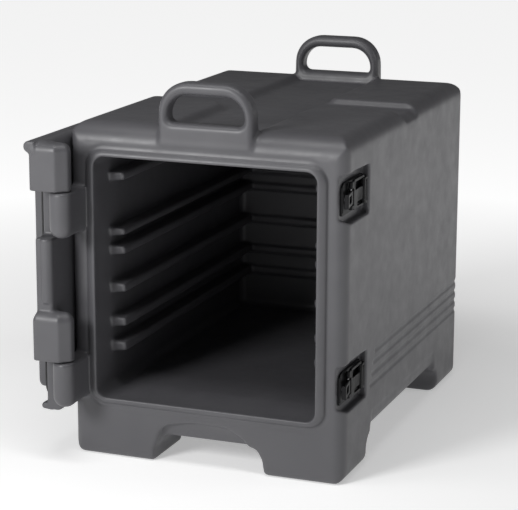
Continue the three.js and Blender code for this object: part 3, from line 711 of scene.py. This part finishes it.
def latch_base(name, level):
    """The latch's plate in the recess, with two ears for the lever's pin."""
    field = Field((213, 4, level - 28), (230, 108, level + 28), SMALL_STEP)
    face = POCKET_X + 0.3

    def shape(x, y, z):
        outline = rounded(y, z, [
            (8, level - 25, 3), (104, level - 25, 3), (104, level + 25, 3), (8, level + 25, 12)])
        plate = both(outline, slab(x, face, face + 3), 0.8)
        lip = both(slab(y, 8, 10.6), both(slab(x, face, face + 4.6), slab(z, level - 20, level + 20), 1), 1)
        ears = both(round_rect(x, y, (face, 227), (93.5, 103.5), 2.4), 16 - np.abs(z - level), 0.6)
        ears = both(ears, np.abs(z - level) - 21, 1.2)
        body = either(either(plate, lip, 1), ears, 1.2)
        body = both(body, -upright_bar(x, y, LEVER_PIN, LATCH_BORE_R), 0.4)
        for back, rise in LATCH_SCREWS:
            body = both(body, SCREW_BORE_R - np.hypot(y - back, z - level - rise), 0.3)
        return body
    field.fill(shape)
    return piece("latch_plate_" + name, field, "carrier_body", NYLON,
                 ["latch_base_" + name], keep=0.5)


def latch_lever(name, level):
    """The lever: a dished finger pad with two windows, and ears that carry the hook."""
    field = Field((216, 26, level - 26), (232, 106, level + 30), SMALL_STEP)

    def shape(x, y, z):
        h = z - level
        thick = slab(x, 221.5, 225.5)
        barrel = both(upright_bar(x, y, LEVER_PIN, 4), np.abs(h) - 15.6, 0.8)
        neck = both(both(slab(y, 86, 98.5), np.abs(h) - 15.6, 2), thick, 1)
        pad = both(round_rect(y, h, (42, 91.6), (-21, 25.5), 4), thick, 1)
        rib = both(slab(y, 86, 90.4), both(slab(x, 223, 228), slab(h, -19, 21), 1.2), 1.2)
        body = either(either(either(barrel, neck, 1.5), pad, 1), rib, 1)
        body = both(body, -round_rect(y, h, (48, 85.5), (9, 21), 2.5), 0.6)
        body = both(body, -round_rect(y, h, (58, 85.5), (-17.5, -11), 2.5), 0.6)
        dish = np.hypot(np.hypot((y - 68) * 0.9, (h + 1) * 1.1), x - 262) - 38.2
        body = both(body, -dish, 1)
        for low, high in ((-19, -12.9), (12.9, 23.5)):
            ear = either(upright_bar(x, y, HOOK_PIN, 3.3), both(thick, slab(y, 34, 46), 0.5), 1)
            body = either(body, both(ear, slab(h, low, high), 0.8), 0.8)
        body = both(body, -both(upright_bar(x, y, HOOK_PIN, 4.4), np.abs(h) - 10.9), 0.4)
        body = both(body, -upright_bar(x, y, LEVER_PIN, LATCH_BORE_R), 0.3)
        return both(body, -upright_bar(x, y, HOOK_PIN, LATCH_BORE_R), 0.3)
    field.fill(shape)
    return piece("latch_handle_" + name, field, "latch_lever_body_" + name, NYLON,
                 ["latch_lever_" + name], keep=0.5)


def latch_hook(name, level):
    """The hook at the lever's front end, hanging loose at rest."""
    field = Field((215, -8, level - 13), (230, 40, level + 13), SMALL_STEP)

    def shape(x, y, z):
        h = z - level
        barrel = upright_bar(x, y, HOOK_PIN, 3.3)
        arm = both(slab(x, 222.9, 226), slab(y, -2.7, 34), 0.9)
        tip = rounded(x, y, [
            (219.2, 0.2, 1), (220.6, -2.7, 0.8), (226, -2.7, 2), (226, 1.5), (219.2, 1.5, 0.6)])
        flat = either(either(barrel, arm, 1.5), tip, 0.6)
        body = both(flat, np.abs(h) - 10.6, 0.9)
        body = both(body, -both(round_rect(y, h, (6, 26), (-5.5, 5.5), 3), 222 - x), 0.7)
        return both(body, -upright_bar(x, y, HOOK_PIN, LATCH_BORE_R), 0.3)
    field.fill(shape)
    pin = Vector((*HOOK_PIN, 0))
    turn = Matrix.Translation(pin) @ Matrix.Rotation(HOOK_REST, 4, "Z") @ Matrix.Translation(-pin)
    return piece("latch_catch_" + name, field, "latch_hook_body_" + name, NYLON,
                 ["latch_hook_" + name], keep=0.5, place=turn)


def door_keeper(name, level, place):
    """The angle on the door's free edge that the hook catches, stiffened by two gussets."""
    field = Field((199, -16, level - 20), (226, 9, level + 20), SMALL_STEP)

    def shape(x, y, z):
        h = z - level
        base = both(both(slab(x, 203, 218.6), slab(y, DOOR_INNER, -10), 0.8), np.abs(h) - 17, 2)
        web = both(both(slab(x, 216.2, 218.6), slab(y, DOOR_INNER, 6), 0.6), np.abs(h) - 14, 1)
        lip = both(both(slab(x, 216.2, 222.1), slab(y, 2, 6), 1.1), np.abs(h) - 14, 1)
        gusset = both(both((y - 0.8 * (x - 206) + 10) / 1.28, np.abs(np.abs(h) - 6) - 1.1, 0.4),
                      both(slab(x, 206, 217), slab(y, DOOR_INNER, 5)))
        body = either(either(either(base, web, 1.5), lip, 1), gusset, 0.6)
        for rise in KEEPER_SCREW_RISES:
            body = both(body, SCREW_BORE_R - np.hypot(x - KEEPER_SCREW_X, h - rise), 0.3)
        return body
    field.fill(shape)
    return piece("door_catch_" + name, field, "door", NYLON, ["door_keeper_" + name],
                 keep=0.5, place=place)


# ---- Small hardware -----------------------------------------------------------------------

def screw_field(shank):
    """A domed cross-recessed screw along +X, with the underside of its head at the origin."""
    field = Field((-shank - 1, -5, -5), (3, 5, 5), 0.25)

    def shape(x, y, z):
        r = np.hypot(y, z)
        dome = np.sqrt((x + 4.4) ** 2 + r ** 2) - 6.4
        head = both(both(dome, r - 4, 0.5), -x, 0.3)
        thread = 0.32 * np.abs(x % 1.0 - 0.5)
        shaft = both(r - 2 + thread, slab(x, -shank, 0.5), 0.4)
        slot = np.minimum(both(np.abs(y) - 0.42, np.abs(z) - 2.1), both(np.abs(z) - 0.42, np.abs(y) - 2.1))
        slot = both(slot, 0.7 - x)
        return both(np.minimum(head, shaft), -slot, 0.15)
    field.fill(shape)
    return field


def pin_piece(name, centre, low, high, r, body, place=None):
    """An upright pin with rounded ends."""
    near, far = np.array(centre) - r - 1.5, np.array(centre) + r + 1.5
    field = Field((*near, low - 1.5), (*far, high + 1.5), 0.3 if r < 3 else 0.8)

    def shape(x, y, z):
        return both(upright_bar(x, y, centre, r), slab(z, low, high), 0.35 * r)
    field.fill(shape)
    return piece(name + "_rod", field, body, STEEL, [name], keep=0.3, place=place)


def fill_plug(name, centre, r, low, body, place=None):
    """A cap with a ring groove, set flush in a foam filling hole."""
    near, far = np.array(centre) - r - 2, np.array(centre) + r + 2
    field = Field((*near, low - 2), (*far, low + 5), 0.5)

    def shape(x, y, z):
        disc = both(upright_bar(x, y, centre, r), slab(z, low, low + 3), 0.8)
        ring = both(np.abs(upright_bar(x, y, centre, r * 0.6)) - 0.9, z - low - 0.7)
        return both(disc, -ring, 0.3)
    field.fill(shape)
    return piece(name + "_cap", field, body, NYLON, [name], keep=0.4, place=place)


def hardware(open_door):
    """Screws, pins and fill plugs; each screw gets its own turn so that no two look copied."""
    screws = {}
    for name, level in LATCH_LEVELS.items():
        for i, (back, rise) in enumerate(LATCH_SCREWS):
            place = Matrix.Translation((POCKET_X + 3.6, back, level + rise))
            place = place @ Matrix.Rotation(0.4 + i, 4, "X")
            screws[f"latch_screw_{name}_{i + 1}"] = (8, place, "carrier_body")
        for i, rise in enumerate(KEEPER_SCREW_RISES):
            place = open_door @ Matrix.Translation((KEEPER_SCREW_X, DOOR_INNER + 3.3, level + rise))
            place = place @ Matrix.Rotation(math.pi / 2, 4, "Z") @ Matrix.Rotation(0.9 - i, 4, "X")
            screws[f"keeper_screw_{name}_{i + 1}"] = (6.5, place, "door")
        pin_piece("latch_lever_pin_" + name, LEVER_PIN, level - 20.5, level + 20.5,
                  LATCH_PIN_R, "carrier_body")
        pin_piece("latch_hook_pin_" + name, HOOK_PIN, level - 18.5, level + 23,
                  LATCH_PIN_R, "latch_lever_body_" + name)
    for node, (shank, place, body) in screws.items():
        piece(node + "_domed", screw_field(shank), body, STEEL, [node], keep=0.4, place=place)
    for name, (low, _), (_, top) in zip(("lower", "upper"), ARMS, KNUCKLES):
        pin_piece("hinge_pin_" + name, (HINGE_X, HINGE_Y), low + 5.5, top - 8.5,
                  HINGE_PIN_R, "door", open_door)
    for i, x in enumerate((-120, 120)):
        fill_plug(f"body_fill_plug_{i + 1}", (x, 320), 14, BELLY, "carrier_body")
    fill_plug("door_fill_plug", (0, -27), 8, DOOR_LOW, "door", open_door)


def foam_cores():
    """The hidden foam stays as it is in the CAD model and gets its material."""
    for node in ("body_foam_core", "door_foam_core"):
        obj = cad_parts[node]
        obj.data.materials.clear()
        obj.data.materials.append(FOAM)


# ---- Stage --------------------------------------------------------------------------------

def camera():
    """The camera stands to the right of the door opening, a little above the carrier's top."""
    back = Vector((0.34926, -0.90725, 0.23432))
    right = Vector((0.93294, 0.36001, 0.00332))
    up = back.cross(right)
    basis = Matrix((right, up, back)).transposed().to_4x4()
    data = bpy.data.cameras.new("camera")
    data.lens, data.sensor_width = 134.42, 36
    data.clip_end = 100
    obj = bpy.data.objects.new("camera", data)
    obj.matrix_world = Matrix.Translation(BODY_ORIGIN + Vector((1.1116, -2.6552, 1.0390))) @ basis
    bpy.context.scene.collection.objects.link(obj)
    bpy.context.scene.camera = obj


def area_light(name, place, target, size, power):
    """A rectangular softbox at a place, facing a target, both in body coordinates."""
    data = bpy.data.lights.new(name, "AREA")
    data.shape, data.size, data.size_y, data.energy = "RECTANGLE", size[0], size[1], power
    obj = bpy.data.objects.new(name, data)
    obj.location = BODY_ORIGIN + Vector(place)
    aim = BODY_ORIGIN + Vector(target) - obj.location
    obj.rotation_euler = aim.to_track_quat("-Z", "Y").to_euler()
    bpy.context.scene.collection.objects.link(obj)


def glowing_pale_floor():
    """A pale floor that glows by its own emission, which is painted light: weaker near its centre under the
    carrier, stronger towards the distance.
    """
    mesh = bpy.data.meshes.new("floor")
    half = 30
    corners = [(-half, -half, 0), (half, -half, 0), (half, half, 0), (-half, half, 0)]
    mesh.from_pydata(corners, [], [(0, 1, 2, 3)])
    floor = bpy.data.objects.new("floor", mesh)
    bpy.context.scene.collection.objects.link(floor)
    n = Nodes("glowing_pale_floor")
    n.shader.inputs["Base Color"].default_value = (0.93, 0.93, 0.93, 1)
    n.shader.inputs["Roughness"].default_value = 0.9
    n.shader.inputs["Emission Color"].default_value = (1, 1, 1, 1)
    distance = n.add("ShaderNodeVectorMath", operation="LENGTH")
    n.tree.links.new(n.place, distance.inputs[0])
    # Painted light: the floor's glow grows with distance from its centre, so the carrier's underside gets
    # less of it and the far floor reads white.
    n.link(n.ramp(distance.outputs["Value"], 0.6, 1.9, 0.36, 0.79), "Emission Strength")
    mesh.materials.append(n.material)


def soft_light():
    """A dim white surrounding, the main light at the front left, one above and one at the right."""
    world = bpy.data.worlds.new("studio")
    bpy.context.scene.world = world
    world.use_nodes = True
    world.node_tree.nodes["Background"].inputs["Color"].default_value = (1, 1, 1, 1)
    world.node_tree.nodes["Background"].inputs["Strength"].default_value = 0.1
    area_light("front_softbox", (-0.95, -1.95, 1.3), (0, 0, 0.35), (0.7, 0.7), 37)
    area_light("right_softbox", (2.4, 0.9, 1.5), (0.2, 0.3, 0.3), (0.9, 0.9), 6)
    area_light("top_softbox", (0, -0.35, 1.8), (0, 0, 0.5), (1.2, 0.35), 8.5)
    bpy.context.scene.view_settings.view_transform = "Standard"


OPEN_DOOR = (Matrix.Translation(Vector(HINGE_POINT)) @ Matrix.Rotation(math.pi / 2, 4, "Z")
             @ Matrix.Translation(-Vector(HINGE_POINT)))

camera()
glowing_pale_floor()
soft_light()
body_moulding()
door_moulding(OPEN_DOOR)
door_gasket(OPEN_DOOR)
for place_name, place_level in LATCH_LEVELS.items():
    latch_base(place_name, place_level)
    latch_lever(place_name, place_level)
    latch_hook(place_name, place_level)
    door_keeper(place_name, place_level, OPEN_DOOR)
hardware(OPEN_DOOR)
foam_cores()
